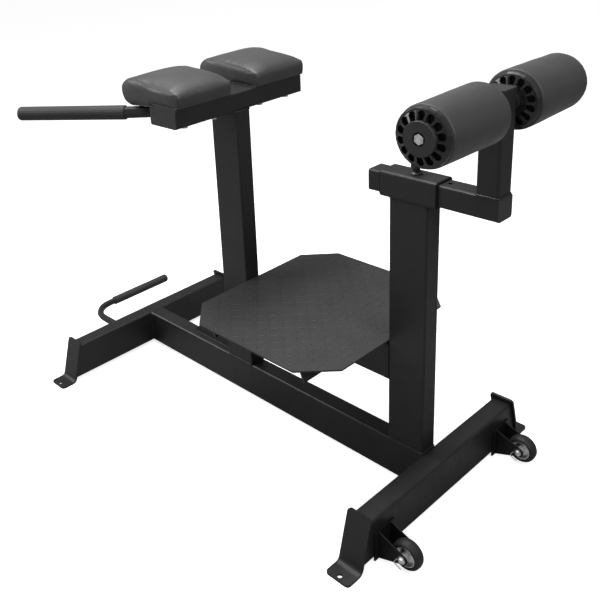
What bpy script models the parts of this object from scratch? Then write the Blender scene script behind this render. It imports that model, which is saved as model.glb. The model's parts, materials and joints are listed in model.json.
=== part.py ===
"""Horizontal hyperextension bench: steel frame, hip pads, step plate and sliding foot rollers.

Metres, +Z up. +X runs along the bench towards the foot rollers, and -Y is the near side.
The origin is on the floor at the middle of the bench's outline.
"""
import math

import bmesh
import bpy
from mathutils import Matrix, Vector

# Clearances, and the limits for welding points and for a hard edge
GAP = 0.0003
RUN_GAP = 0.0005
WELD = 0.00002
HARD_EDGE = math.radians(35)

# Steel tube stock
BEAM_DEEP = 0.100
BEAM_THIN = 0.050
BEAM_WALL = 0.003
BEAM_CORNER = 0.0045
SLIDE_SIDE = 0.050
SLIDE_CORNER = 0.0045
SLEEVE_SIDE = 0.060
SLEEVE_WALL = 0.003
SLEEVE_CORNER = 0.0055
INNER_CORNER = 0.0012

# Base frame, measured from the rear cross beam's centre
FLOOR_GAP = 0.010
BASE_DEEP = 0.105
BASE_CORNER = 0.006
BEAM_SPAN = 1.110
REAR_HALF_TOP = 0.309
FRONT_HALF_TOP = 0.293
END_SLOPE = 0.29
FOOT_WIDTH = 0.064
FOOT_THICK = 0.006
FOOT_RISE = 0.014
FOOT_REACH = 0.084
FOOT_CORNER = 0.009
FOOT_BEND = 0.013
FOOT_HOLE_R = 0.006
FOOT_HOLE_INSET = 0.012

# Posts
HIP_POST_X = 0.454
ROLLER_POST_X = BEAM_SPAN - BEAM_THIN / 2 - BEAM_DEEP / 2
HIP_BEAM_X = 0.452
HIP_BEAM_BOTTOM = 0.878
HIP_BEAM_HALF = 0.223
GUSSET_LENGTH = 0.172
GUSSET_THICK = 0.006
GUSSET_TOE = 0.008

# Step plate
PLATE_TOP = 0.391
PLATE_THICK = 0.004
PLATE_HALF_Y = 0.274
PLATE_CHAMFER_X = 0.078
PLATE_CHAMFER_Y = 0.079
PLATE_END_GAP = 0.003
ANGLE_LEG = 0.040
ANGLE_THICK = 0.005
ANGLE_HALF = 0.254
ANGLE_SLOPE = 0.3
REAR_ANGLE_AHEAD = 0.156
FRONT_ANGLE_BEHIND = 0.123

# Hip pads
PAD_INNER_Y = 0.0415
PAD_OUTER_Y = 0.2315
PAD_SHIFT_Y = 0.0085
PAD_REAR_X = 0.283
PAD_LOW_Z = 0.9195
PAD_TOP_Z = 0.994
PAD_ROLL_R = 0.034
PAD_END_DROP = 0.017
PAD_CORNER = 0.014
PAD_EDGE = 0.010
PAD_OVERHANG = 0.003
PAD_SEAT_START = 0.006
BOARD_THICK = 0.015
BOARD_INSET = 0.012
PAD_BOLT_X = 0.481
PAD_BOLT_Y = (0.083, 0.183)
PAD_BOLT_R = 0.005
PAD_BOLT_HEAD_AF = 0.016
PAD_BOLT_HEAD_H = 0.0056
PAD_BOLT_WASHER_R = 0.0105
PAD_BOLT_WASHER_H = 0.0016
PAD_BOLT_DEPTH = 0.011

# Hip handle, as a path from the hip beam's rear face
HIP_HANDLE_R = 0.016
HIP_HANDLE_PATH = (
    (0.402, -0.158, 0.899),
    (0.352, -0.202, 0.898),
    (0.306, -0.232, 0.896),
    (0.047, -0.375, 0.887),
)
HIP_GRIP_R = 0.019
HIP_GRIP_END = 0.027
GRIP_EDGE_RATIO = 0.35
GRIP_EDGE_BEND = 0.3

# Lifting handle on the rear cross beam
LIFT_R = 0.011
LIFT_GRIP_R = 0.0142
LIFT_Z = 0.083
LIFT_START_Y = -0.121
LIFT_REACH_X = 0.190
LIFT_BEND_R = 0.075
LIFT_TIP_Y = 0.203
LIFT_GRIP_START_Y = -0.026
LIFT_GRIP_END = 0.008

# Sliding roller carriage
SLEEVE_BOTTOM = 0.756
SLEEVE_LENGTH = 0.142
LINER_CORNER = 0.0042
LINER_DEPTH = 0.025
LINER_LIP = 0.0022
BAR_REACH = 0.210
BAR_LENGTH = 0.313
UPRIGHT_TOP = 1.027
CAP_THICK = 0.003
CAP_PLUG = 0.012
CAP_CORNER = 0.0015
HOLE_PITCH = 0.028
HOLE_STEPS = (-2, -1, 0, 1, 2, 3)

# Lock pin
LOCK_AHEAD = 0.003
PIN_R = 0.0046
PIN_TRAVEL = 0.008
PIN_CLEAR = 0.001
PIN_HOLE_R = 0.0052
HOUSING_BASE_R = 0.014
HOUSING_R = 0.008
HOUSING_BASE_H = 0.006
HOUSING_H = 0.022
HOUSING_BORE_R = 0.0061
HOUSING_LID = 0.003
HOUSING_TOE = 0.002
COLLAR_R = 0.0057
COLLAR_H = 0.003
STEM_R = 0.0034
KNOB_R = 0.0128
KNOB_H = 0.020
KNOB_TOP = 0.004
KNOB_LOBES = 6
KNOB_WAVE = 0.10
SPRING_WIRE_R = 0.0006
SPRING_COIL_R = 0.0048
SPRING_TURNS = 4

# Foot rollers
AXLE_DROP = 0.035
ROLLER_R = 0.060
ROLLER_FLARE = 0.0020
ROLLER_INNER_Y = 0.050
ROLLER_OUTER_Y = 0.2515
ROLLER_EDGE = 0.003
AXLE_R = 0.0125
HUB_RIM_R = 0.0585
HUB_RIM_H = 0.0085
HUB_PLUG_R = 0.0525
HUB_PLUG_H = 0.0175
HUB_SEAT_H = 0.0010
HUB_CROWN_H = 0.0062
HUB_POCKETS = 14
HUB_RIB_HALF = 0.0020
POCKET_IN_R = 0.0330
POCKET_OUT_R = 0.0505
POCKET_DEPTH = 0.0125
FOAM_BORE_R = 0.0135
DISC_R = 0.0335
DISC_THICK = 0.0080
DISC_FLOOR = 0.0018
DISC_RECESS_R = 0.0132
STOP_RING_R = 0.019
STOP_RING_LENGTH = 0.007
END_BOLT_R = 0.006
END_BOLT_AF = 0.018
END_BOLT_HEAD = 0.0058
END_BOLT_DEEP = 0.028

# Castor wheels
WHEEL_AHEAD = 0.065
WHEEL_Z = 0.0420
WHEEL_Y = 0.243
WHEEL_R = 0.0355
TYRE_HALF = 0.0145
TYRE_CROWN = 0.004
RIM_R = 0.0245
RIM_INSET = 0.002
WHEEL_BOSS_R = 0.010
WHEEL_WEB_R = 0.017
WHEEL_AXLE_R = 0.005
FORK_TOP = 0.079
FORK_BOTTOM = 0.005
FORK_HALF = 0.036
CHEEK_OUT = 0.0235
CHEEK_THICK = 0.003
FORK_BASE_THICK = 0.004
NOSE_R = 0.013

# Material colours: colour, roughness, metallic
PAINT = ("painted_steel", (0.018, 0.018, 0.019), 0.38, 0.35)
PLATE_PAINT = ("plate_paint", (0.050, 0.050, 0.051), 0.42, 0.3)
VINYL = ("pad_vinyl", (0.045, 0.045, 0.047), 0.42, 0.0)
BOARD = ("pad_board_ply", (0.42, 0.30, 0.18), 0.75, 0.0)
ZINC = ("zinc_fastener", (0.72, 0.72, 0.70), 0.28, 1.0)
PLASTIC = ("black_plastic", (0.020, 0.020, 0.021), 0.5, 0.0)
LINER = ("liner_plastic", (0.008, 0.008, 0.008), 0.6, 0.0)
GRIP = ("grip_rubber", (0.030, 0.030, 0.031), 0.68, 0.0)
ROLLER_SKIN = ("roller_skin", (0.042, 0.042, 0.044), 0.5, 0.0)
HUB_PLASTIC = ("hub_plastic", (0.016, 0.016, 0.017), 0.32, 0.0)
AXLE_STEEL = ("axle_steel", (0.045, 0.045, 0.047), 0.4, 0.8)
TYRE = ("tyre_rubber", (0.020, 0.020, 0.021), 0.6, 0.0)
WHEEL_METAL = ("wheel_hub_zinc", (0.62, 0.62, 0.61), 0.3, 1.0)
FORK_PAINT = ("fork_paint", (0.012, 0.012, 0.013), 0.42, 0.35)
SPRING_STEEL = ("spring_steel", (0.45, 0.45, 0.45), 0.35, 1.0)

# Places and heights that follow from the sizes above, and the origin
REAR_ANGLE_X = HIP_POST_X + REAR_ANGLE_AHEAD
FRONT_ANGLE_X = ROLLER_POST_X - FRONT_ANGLE_BEHIND
SLEEVE_REAR_X = ROLLER_POST_X - SLEEVE_LENGTH / 2
BAR_FRONT_X = ROLLER_POST_X + BAR_REACH
BAR_REAR_X = BAR_FRONT_X - BAR_LENGTH
LOCK_X = ROLLER_POST_X + LOCK_AHEAD
WHEEL_X = BEAM_SPAN + BEAM_THIN / 2 + WHEEL_AHEAD
ROLLER_Z = UPRIGHT_TOP - AXLE_DROP
FLANGE_END_REAR = REAR_HALF_TOP + FOOT_REACH
GRIP_TIP = HIP_HANDLE_PATH[-1]
X_LOW = -(LIFT_REACH_X + LIFT_GRIP_R)
X_HIGH = (BAR_FRONT_X - SLIDE_SIDE / 2) + ROLLER_R + ROLLER_FLARE
GRIP_HEADING = (Vector(GRIP_TIP) - Vector(HIP_HANDLE_PATH[-2])).normalized()
GRIP_SHORT = HIP_GRIP_R * GRIP_EDGE_RATIO * GRIP_EDGE_BEND
GRIP_LEAN = math.sqrt(1 - GRIP_HEADING.y**2)
Y_LOW = GRIP_TIP[1] + GRIP_HEADING.y * (HIP_GRIP_END - GRIP_SHORT) - GRIP_LEAN * (HIP_GRIP_R - GRIP_SHORT)
ORIGIN_X = (X_LOW + X_HIGH) / 2
ORIGIN_Y = (Y_LOW + FLANGE_END_REAR) / 2
BEAM_TOP = FLOOR_GAP + BASE_DEEP
HIP_BEAM_TOP = HIP_BEAM_BOTTOM + BEAM_THIN
SLEEVE_TOP = SLEEVE_BOTTOM + SLEEVE_SIDE
BAR_Z = SLEEVE_BOTTOM + SLEEVE_SIDE / 2
BAR_TOP = BAR_Z + SLIDE_SIDE / 2
UPRIGHT_X = BAR_FRONT_X - SLIDE_SIDE / 2
PLATE_BOTTOM = PLATE_TOP - PLATE_THICK
ANGLE_TOP = PLATE_BOTTOM - GAP
RAIL_TOP = ANGLE_TOP - ANGLE_THICK - GAP
SIDES = (("near", -1), ("far", 1))

# World axes as rotations: local Z is turned onto the named axis
TURN = {
    "+Z": Matrix.Identity(3),
    "+X": Matrix(((0, 0, 1), (1, 0, 0), (0, 1, 0))),
    "+Y": Matrix(((0, 1, 0), (0, 0, 1), (1, 0, 0))),
    "-Y": Matrix(((1, 0, 0), (0, 0, -1), (0, 1, 0))),
}

STAND_UP = Matrix(((-1, 0, 0), (0, 0, 1), (0, 1, 0))).to_4x4()


def clear_scene():
    for obj in list(bpy.data.objects):
        bpy.data.objects.remove(obj, do_unlink=True)


def new_collection(name):
    collection = bpy.data.collections.new(name)
    bpy.context.scene.collection.children.link(collection)
    return collection


def material(spec):
    name, colour, roughness, metallic = spec
    found = bpy.data.materials.get(name)
    if found:
        return found
    made = bpy.data.materials.new(name)
    made.use_nodes = True
    shader = made.node_tree.nodes["Principled BSDF"]
    shader.inputs["Base Color"].default_value = (*colour, 1.0)
    shader.inputs["Roughness"].default_value = roughness
    shader.inputs["Metallic"].default_value = metallic
    made.diffuse_color = (*colour, 1.0)
    return made


def world(x, y, z):
    """Turns a place on the bench, measured from the rear cross beam, into a place from the origin."""
    return Vector((x - ORIGIN_X, y - ORIGIN_Y, z))


def place(obj, at, turn="+Z"):
    obj.matrix_world = Matrix.Translation(world(*at)) @ TURN[turn].to_4x4()


def add_object(name, data, spec, at=(0, 0, 0), turn="+Z", cutter=False):
    obj = bpy.data.objects.new(name, data)
    (CUTTERS if cutter else PARTS).objects.link(obj)
    place(obj, at, turn)
    if spec:
        data.materials.append(material(spec))
    if cutter:
        obj.hide_render = True
        obj.display_type = "WIRE"
    return obj


def smooth(obj):
    """Shades round faces smooth and keeps the hard edges."""
    obj.data.shade_smooth()
    obj.data.set_sharp_from_angle(angle=HARD_EDGE)


def mesh_from_bmesh(name, build):
    bmesh.ops.recalc_face_normals(build, faces=build.faces)
    mesh = bpy.data.meshes.new(name)
    build.to_mesh(mesh)
    build.free()
    return mesh


def box_mesh(name, size):
    build = bmesh.new()
    bmesh.ops.create_cube(build, size=1.0, matrix=Matrix.Diagonal((*size, 1.0)))
    return mesh_from_bmesh(name, build)


def cylinder_mesh(name, radius, depth, segments, phase=0.0):
    build = bmesh.new()
    spin = Matrix.Rotation(phase, 4, "Z")
    size = {"radius1": radius, "radius2": radius, "depth": depth}
    bmesh.ops.create_cone(build, cap_ends=True, segments=segments, matrix=spin, **size)
    return mesh_from_bmesh(name, build)


def to_mesh(obj):
    """Replaces a curve or a modified object by its evaluated mesh."""
    bpy.context.view_layer.update()
    graph = bpy.context.evaluated_depsgraph_get()
    mesh = bpy.data.meshes.new_from_object(obj.evaluated_get(graph))
    name, where = obj.name, obj.matrix_world.copy()
    collections = list(obj.users_collection)
    bpy.data.objects.remove(obj, do_unlink=True)
    build = bmesh.new()
    build.from_mesh(mesh)
    bmesh.ops.remove_doubles(build, verts=build.verts, dist=WELD)
    bmesh.ops.recalc_face_normals(build, faces=build.faces)
    build.to_mesh(mesh)
    build.free()
    made = bpy.data.objects.new(name, mesh)
    for collection in collections:
        collection.objects.link(made)
    made.matrix_world = where
    return made


def cut(obj, cutter, operation="DIFFERENCE"):
    modifier = obj.modifiers.new("cut", "BOOLEAN")
    modifier.operation = operation
    modifier.solver = "EXACT"
    modifier.object = cutter
    return modifier


def cut_cylinder(obj, radius, depth, at, turn="+Z", segments=16):
    name = f"{obj.name}_bore_{len(obj.modifiers)}"
    cutter = add_object(name, cylinder_mesh(name, radius, depth, segments), None, at, turn, cutter=True)
    return cut(obj, cutter)


def cut_box(obj, size, at):
    name = f"{obj.name}_slot_{len(obj.modifiers)}"
    cutter = add_object(name, box_mesh(name, size), None, at, cutter=True)
    return cut(obj, cutter)


def rounded_rectangle(width, height, radius, steps=3):
    points = []
    for corner_x, corner_y, start in ((1, 1, 0), (-1, 1, 90), (-1, -1, 180), (1, -1, 270)):
        cx = corner_x * (width / 2 - radius)
        cy = corner_y * (height / 2 - radius)
        for step in range(steps + 1):
            angle = math.radians(start + 90 * step / steps)
            points.append((cx + radius * math.cos(angle), cy + radius * math.sin(angle)))
    return points


def flat_curve(name, outlines, thickness):
    """A filled flat outline with holes, given thickness along its local Z."""
    curve = bpy.data.curves.new(name, "CURVE")
    curve.dimensions = "2D"
    curve.fill_mode = "BOTH"
    curve.extrude = thickness / 2
    for outline in outlines:
        spline = curve.splines.new("POLY")
        spline.points.add(len(outline) - 1)
        for point, (x, y) in zip(spline.points, outline):
            point.co = (x, y, 0.0, 1.0)
        spline.use_cyclic_u = True
    return curve


def extruded(name, outlines, thickness, spec, at, turn="+Z"):
    return add_object(name, flat_curve(name, outlines, thickness), spec, at, turn)


def upright_plate(name, outline, thickness, spec, y):
    """A plate that stands in the XZ plane, from an outline of bench positions (x, z)."""
    flat = flat_curve(name, [[(-x, z) for x, z in outline]], thickness)
    plate = add_object(name, flat, spec)
    plate.matrix_world = Matrix.Translation(world(0, y, 0)) @ STAND_UP
    return plate


def rect_tube(name, across, length, spec, at, turn, wall=BEAM_WALL, corner=BEAM_CORNER):
    """An open rectangular tube along the named axis; across is its size on the next two axes."""
    outer = rounded_rectangle(across[0], across[1], corner)
    inner_corner = max(corner - wall, INNER_CORNER)
    inner = rounded_rectangle(across[0] - 2 * wall, across[1] - 2 * wall, inner_corner, 1)
    return extruded(name, (outer, inner), length, spec, at, turn)


def turned(name, profile, segments, spec, at, turn="+Z", closed=False):
    """A turned solid from an outside profile of (radius, height) that runs from top to bottom."""
    mesh = bpy.data.meshes.new(name)
    count = len(profile)
    edges = [(i, i + 1) for i in range(count - 1)]
    if closed:
        edges.append((count - 1, 0))
    mesh.from_pydata([(radius, 0.0, height) for radius, height in profile], edges, [])
    obj = add_object(name, mesh, spec, at, turn)
    modifier = obj.modifiers.new("turn", "SCREW")
    modifier.axis = "Z"
    modifier.angle = math.tau
    modifier.steps = segments
    modifier.render_steps = segments
    modifier.use_merge_vertices = True
    modifier.merge_threshold = WELD
    made = to_mesh(obj)
    smooth(made)
    return made


def ring_profile(inner, outer, low, high, edge=0.0):
    """A washer or sleeve section that runs down its outer side."""
    if edge <= 0.0:
        return [(inner, high), (outer, high), (outer, low), (inner, low)]
    return [
        (inner, high),
        (outer - edge, high),
        (outer - edge * 0.3, high - edge * 0.3),
        (outer, high - edge),
        (outer, low + edge),
        (outer - edge * 0.3, low + edge * 0.3),
        (outer - edge, low),
        (inner, low),
    ]


def mirrored(profile):
    """The other half of a profile that is the same above and below height 0."""
    return [(radius, -height) for radius, height in reversed(profile)]


def union(first, second):
    """Fuses the second piece into the first and keeps one closed body."""
    first = to_mesh(first)
    second = to_mesh(second)
    cut(first, second, "UNION")
    made = to_mesh(first)
    bpy.data.objects.remove(second, do_unlink=True)
    return made


def slope_ends(obj, slope, high, axis=0):
    """Slants both ends of a length along local Z: longer below the high side, or shorter if negative."""
    for vertex in obj.data.vertices:
        drop = high - vertex.co[axis]
        vertex.co.z += slope * drop * math.copysign(1, vertex.co.z)


def round_path(points, radius, steps=5):
    """Rounds the corners of a path of points with arcs of about the given radius."""
    points = [Vector(p) for p in points]
    path = [points[0]]
    for before, corner, after in zip(points, points[1:], points[2:]):
        back = (before - corner).normalized()
        ahead = (after - corner).normalized()
        half = math.acos(max(-1.0, min(1.0, -back.dot(ahead)))) / 2
        reach = min(radius * math.tan(half), (before - corner).length * 0.49, (after - corner).length * 0.49)
        start = corner + back * reach
        end = corner + ahead * reach
        for step in range(steps + 1):
            t = step / steps
            path.append((1 - t) ** 2 * start + 2 * t * (1 - t) * corner + t**2 * end)
    path.append(points[-1])
    return path


def bent_tube(name, path, radius, wall, resolution, spec):
    """An open tube that follows a path of bench positions."""
    curve = bpy.data.curves.new(name, "CURVE")
    curve.dimensions = "3D"
    curve.bevel_depth = radius
    curve.bevel_resolution = resolution
    curve.use_fill_caps = False
    curve.twist_mode = "MINIMUM"
    spline = curve.splines.new("POLY")
    spline.points.add(len(path) - 1)
    for point, position in zip(spline.points, path):
        point.co = (*position, 1.0)
    obj = to_mesh(add_object(name, curve, spec))
    smooth(obj)
    wall_modifier = obj.modifiers.new("wall", "SOLIDIFY")
    wall_modifier.thickness = wall
    wall_modifier.offset = -1.0
    wall_modifier.use_even_offset = True
    return obj


def build_cross_beam(name, x, half_top):
    middle_z = FLOOR_GAP + BASE_DEEP / 2
    across = (BASE_DEEP, BEAM_THIN)
    beam = rect_tube(name, across, 2 * half_top, PAINT, (x, 0, middle_z), "+Y", corner=BASE_CORNER)
    beam = to_mesh(beam)
    slope_ends(beam, END_SLOPE, BASE_DEEP / 2)
    return beam


def foot_rows(half_top, side):
    """Rows across a bent foot plate, as (half width, y, z), from its top edge to the flange tip."""
    top_z = BEAM_TOP + FOOT_RISE
    half = FOOT_WIDTH / 2
    mid = FOOT_THICK / 2
    lean = math.hypot(1.0, END_SLOPE)

    def wall_y(z):
        return half_top + GAP * lean + mid * lean + END_SLOPE * (BEAM_TOP - z)

    rows = []
    for step in range(4):
        angle = math.radians(30 * step)
        z = top_z - FOOT_CORNER * (1 - math.sin(angle))
        rows.append((half - FOOT_CORNER * (1 - math.cos(angle)), wall_y(z), z))
    rows.reverse()
    corner_y = wall_y(mid)
    start = Vector((corner_y - END_SLOPE * FOOT_BEND / lean, mid + FOOT_BEND / lean))
    corner = Vector((corner_y, mid))
    end = Vector((corner_y + FOOT_BEND, mid))
    for step in range(5):
        t = step / 4
        spot = (1 - t) ** 2 * start + 2 * t * (1 - t) * corner + t**2 * end
        rows.append((half, spot.x, spot.y))
    tip = half_top + FOOT_REACH
    for step in range(4):
        angle = math.radians(30 * step)
        y = tip - FOOT_CORNER * (1 - math.sin(angle))
        rows.append((half - FOOT_CORNER * (1 - math.cos(angle)), y, mid))
    return [(w, side * y, z) for w, y, z in rows]


def build_foot(name, x, half_top, side):
    rows = foot_rows(half_top, side)
    build = bmesh.new()
    pairs = [[build.verts.new((s * w, y, z)) for s in (-1, 1)] for w, y, z in rows]
    for (a, b), (c, d) in zip(pairs, pairs[1:]):
        build.faces.new((a, b, d, c) if side < 0 else (b, a, c, d))
    foot = add_object(name, mesh_from_bmesh(name, build), PAINT, (x, 0, 0))
    thickness = foot.modifiers.new("plate", "SOLIDIFY")
    thickness.thickness = FOOT_THICK
    thickness.offset = 0.0
    thickness.use_even_offset = True
    hole_y = side * (half_top + FOOT_REACH - FOOT_HOLE_INSET)
    cut_cylinder(foot, FOOT_HOLE_R, FOOT_THICK * 3, (x, hole_y, FOOT_THICK / 2), segments=20)
    return foot


def build_base():
    middle_z = FLOOR_GAP + BASE_DEEP / 2
    build_cross_beam("rear_cross_beam", 0.0, REAR_HALF_TOP)
    build_cross_beam("front_cross_beam", BEAM_SPAN, FRONT_HALF_TOP)
    length = BEAM_SPAN - BEAM_THIN - 2 * GAP
    across = (BEAM_THIN, BASE_DEEP)
    rect_tube("central_beam", across, length, PAINT, (BEAM_SPAN / 2, 0, middle_z), "+X", corner=BASE_CORNER)
    for label, side in SIDES:
        build_foot(f"rear_foot_{label}", 0.0, REAR_HALF_TOP, side)
        build_foot(f"front_foot_{label}", BEAM_SPAN, FRONT_HALF_TOP, side)


def build_post(name, x, top):
    low = BEAM_TOP + GAP
    rect_tube(name, (BEAM_DEEP, BEAM_THIN), top - low, PAINT, (x, 0, (low + top) / 2), "+Z")


def build_posts():
    build_post("hip_post", HIP_POST_X, HIP_BEAM_BOTTOM - GAP)
    build_post("roller_post", ROLLER_POST_X, SLEEVE_BOTTOM - GAP)
    right = HIP_POST_X - BEAM_DEEP / 2 - GAP
    left = right - GUSSET_LENGTH
    low = BEAM_TOP + GAP
    outline = (
        (left, low),
        (right, low),
        (right, low + GUSSET_LENGTH),
        (right - GUSSET_TOE, low + GUSSET_LENGTH),
        (left, low + GUSSET_TOE),
    )
    upright_plate("hip_post_gusset", outline, GUSSET_THICK, PAINT, 0.0)


def build_step():
    rail_rear = HIP_POST_X + BEAM_DEEP / 2 + GAP
    rail_front = ROLLER_POST_X - BEAM_DEEP / 2 - GAP
    middle_x = (rail_rear + rail_front) / 2
    rail_at = (middle_x, 0, RAIL_TOP - BEAM_DEEP / 2)
    rect_tube("step_rail", (BEAM_THIN, BEAM_DEEP), rail_front - rail_rear, PAINT, rail_at, "+X")
    outline = [
        (0, 0),
        (0, -ANGLE_LEG),
        (-ANGLE_THICK, -ANGLE_LEG),
        (-ANGLE_THICK, -ANGLE_THICK),
        (-ANGLE_LEG, -ANGLE_THICK),
        (-ANGLE_LEG, 0),
    ]
    for label, face_x in (("rear", REAR_ANGLE_X), ("front", FRONT_ANGLE_X)):
        name = f"step_angle_{label}"
        angle = to_mesh(extruded(name, [outline], 2 * ANGLE_HALF, PAINT, (face_x, 0, ANGLE_TOP), "+Y"))
        slope_ends(angle, -ANGLE_SLOPE, 0.0)
        notch_x = face_x - ANGLE_LEG / 2
        notch_z = ANGLE_TOP - ANGLE_THICK - ANGLE_LEG / 2
        cut_box(angle, (ANGLE_LEG * 1.5, BEAM_THIN + 2 * RUN_GAP, ANGLE_LEG), (notch_x, 0, notch_z - GAP / 2))
    x_rear = rail_rear + PLATE_END_GAP
    x_front = rail_front - PLATE_END_GAP / 6
    outline = []
    for x, y, dx in ((x_rear, -1, 1), (x_front, -1, -1), (x_front, 1, -1), (x_rear, 1, 1)):
        chamfered = ((x, y * (PLATE_HALF_Y - PLATE_CHAMFER_Y)), (x + dx * PLATE_CHAMFER_X, y * PLATE_HALF_Y))
        outline += chamfered if (x == x_rear) == (y < 0) else chamfered[::-1]
    extruded("step_plate", [outline], PLATE_THICK, PLATE_PAINT, (0, 0, PLATE_BOTTOM + PLATE_THICK / 2))


def end_cap(name, across, wall, corner, spec, at, turn):
    """A plastic end cap: a rounded cover with a plug inside the tube's wall."""
    cover = extruded(name, [rounded_rectangle(across[0], across[1], corner)], CAP_THICK, spec, at, turn)
    inset = 2 * (wall + RUN_GAP)
    axis = TURN[turn] @ Vector((0, 0, 1))
    centre = Vector(at) - axis * (CAP_THICK / 2 + CAP_PLUG / 2 - 0.0005)
    outline = rounded_rectangle(across[0] - inset, across[1] - inset, CAP_CORNER, 1)
    plug = extruded(f"{name}_plug", [outline], CAP_PLUG + 0.001, spec, centre, turn)
    return union(cover, plug)


def hex_points(across_flats, start=0):
    radius = across_flats / math.sqrt(3)
    turns = [math.radians(start + 60 * i) for i in range(6)]
    return [(radius * math.cos(turn), radius * math.sin(turn)) for turn in turns]


def build_hip_beam():
    middle_z = HIP_BEAM_BOTTOM + BEAM_THIN / 2
    centre = (HIP_BEAM_X, 0, middle_z)
    beam = rect_tube("hip_beam", (BEAM_THIN, BEAM_DEEP), 2 * HIP_BEAM_HALF, PAINT, centre, "+Y")
    beam = to_mesh(beam)
    for side in (-1, 1):
        for y in PAD_BOLT_Y:
            at = (PAD_BOLT_X, side * y, middle_z)
            cut_cylinder(beam, PAD_BOLT_R + RUN_GAP, BEAM_THIN * 1.4, at, segments=12)
    for label, side in SIDES:
        turn = "-Y" if side < 0 else "+Y"
        across = (BEAM_DEEP, BEAM_THIN) if side < 0 else (BEAM_THIN, BEAM_DEEP)
        at = (HIP_BEAM_X, side * (HIP_BEAM_HALF + GAP + CAP_THICK / 2), middle_z)
        end_cap(f"hip_beam_cap_{label}", across, BEAM_WALL, BEAM_CORNER, PLASTIC, at, turn)


def build_pad_bolts():
    """Flanged hex bolts that go up through the hip beam into the pad boards."""
    under = HIP_BEAM_BOTTOM - GAP
    tip = HIP_BEAM_TOP + GAP + PAD_BOLT_DEPTH
    washer = under - PAD_BOLT_WASHER_H
    head_z = washer - PAD_BOLT_HEAD_H / 2 + 0.0004
    for label, side in SIDES:
        for place_name, y in zip(("inner", "outer"), PAD_BOLT_Y):
            name = f"pad_bolt_{label}_{place_name}"
            profile = [
                (0, tip),
                (PAD_BOLT_R, tip),
                (PAD_BOLT_R, under),
                (PAD_BOLT_WASHER_R, under),
                (PAD_BOLT_WASHER_R, washer),
                (0, washer),
            ]
            profile = [(r, z - under) for r, z in profile]
            shank = turned(name, profile, 16, ZINC, (PAD_BOLT_X, side * y, under))
            head_at = (PAD_BOLT_X, side * y, head_z)
            head = extruded(f"{name}_head", [hex_points(PAD_BOLT_HEAD_AF)], PAD_BOLT_HEAD_H, ZINC, head_at)
            union(shank, head)


def build_pad_board(label, side):
    name = f"hip_pad_board_{label}"
    front_x = HIP_BEAM_X + BEAM_DEEP / 2 - BOARD_INSET
    rear_x = PAD_REAR_X + 0.050
    low_y = PAD_INNER_Y + BOARD_INSET
    high_y = PAD_OUTER_Y - BOARD_INSET
    size = (front_x - rear_x, high_y - low_y, BOARD_THICK)
    middle_y = side * (low_y + high_y) / 2 + PAD_SHIFT_Y
    at = ((front_x + rear_x) / 2, middle_y, HIP_BEAM_TOP + GAP + BOARD_THICK / 2)
    board = add_object(name, box_mesh(name, size), BOARD, at)
    board_low = HIP_BEAM_TOP + GAP
    for y in PAD_BOLT_Y:
        at_bolt = (PAD_BOLT_X, side * y, board_low)
        cut_cylinder(board, PAD_BOLT_R + GAP, 2 * (PAD_BOLT_DEPTH + GAP), at_bolt)
    return size, at


def pad_section():
    """The pad's side outline at its middle in (x, z): a hanging rear roll, a domed top, a rounded front."""
    front = HIP_BEAM_X + BEAM_DEEP / 2
    rear = PAD_REAR_X
    seat = HIP_BEAM_TOP + GAP
    low = PAD_LOW_Z
    top = PAD_TOP_Z
    return [
        (front - 0.002, seat),
        (front + PAD_OVERHANG, seat + 0.004),
        (front + PAD_OVERHANG, seat + 0.020),
        (front + 0.001, top - 0.033),
        (front - 0.009, top - 0.017),
        (front - 0.028, top - 0.007),
        (front - 0.062, top - 0.001),
        (rear + 0.118, top + 0.001),
        (rear + 0.078, top),
        (rear + 0.044, top - 0.003),
        (rear + 0.017, top - 0.012),
        (rear + 0.001, top - 0.028),
        (rear - 0.001, low + 0.030),
        (rear + 0.006, low + 0.012),
        (rear + 0.022, low + 0.001),
        (rear + 0.046, low - 0.001),
        (rear + 0.080, low + 0.003),
        (HIP_BEAM_X - BEAM_DEEP / 2 - 0.002, seat),
        (HIP_BEAM_X, seat),
    ]


def pad_plan_drop(from_end):
    """How far the rounded corner draws the pad's front back, at this distance from the pad's end."""
    across = max(0.0, PAD_CORNER - from_end)
    return PAD_CORNER - math.sqrt(PAD_CORNER**2 - across**2)


def pad_top_drop(x, where):
    """How far the top falls towards the pad's ends: a little on the rear roll, more in front of it."""
    roll_end = PAD_REAR_X + 2 * PAD_ROLL_R
    share = min(1.0, max(0.0, (x - roll_end + 0.025) / 0.050))
    return PAD_END_DROP * (0.35 + 0.65 * share) * abs(where) ** 3


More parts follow.
